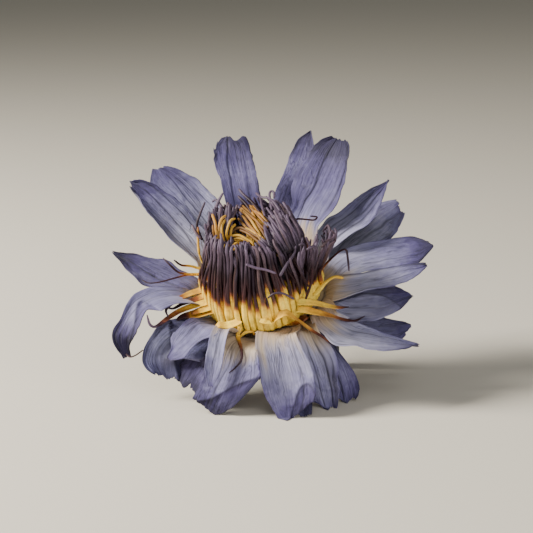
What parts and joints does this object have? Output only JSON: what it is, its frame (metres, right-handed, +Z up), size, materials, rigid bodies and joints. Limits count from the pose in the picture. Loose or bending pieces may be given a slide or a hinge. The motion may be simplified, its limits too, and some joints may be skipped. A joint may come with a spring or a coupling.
{
  "type": "lotus flower",
  "caption": "Dried blue water lily bloom cut close under the head, standing on its drooped petals, with a full crown of stamens.",
  "frame": {"origin": "on the surface that the bloom stands on, under the middle of the bloom's box", "axes": "+Z up from the surface, +X to the right of someone who looks into the bloom, +Y away from them; the stamens lean towards -Y"},
  "size_m": [0.1118, 0.0896, 0.0839],
  "materials": {
    "petal": "matte, papery, finely veined",
    "sepal": "matte, leathery",
    "receptacle": "matte, spongy",
    "stamen_base": "matte, ribbed",
    "stamen_dark": "satin, waxy",
    "stamen_gold": "satin"
  },
  "bodies": {
    "root": {"receptacle": "receptacle", "petal_back": "petal", "petal_back_right_behind": "petal", "petal_back_right": "petal", "petal_right_upper": "petal", "petal_right_upper_behind": "petal", "petal_right_high": "petal", "petal_right_mid": "petal", "petal_right_low": "petal", "petal_right_low_behind": "petal", "petal_right_front": "petal", "petal_front_right_behind": "petal", "petal_front_right": "petal", "petal_front": "petal", "petal_front_left": "petal", "petal_front_left_fold": "petal", "petal_left_low": "petal", "petal_left_low_behind": "petal", "petal_left_arched": "petal", "petal_left": "petal", "petal_left_upper": "petal", "petal_left_upper_behind": "petal", "sepal_left": "sepal", "sepal_front": "sepal", "sepal_back_right": "sepal", "sepal_back_left": "sepal", "stamen_bases": "stamen_base", "stamens_dark": "stamen_dark", "stamens_gold": "stamen_gold"}
  },
  "joints": []
}
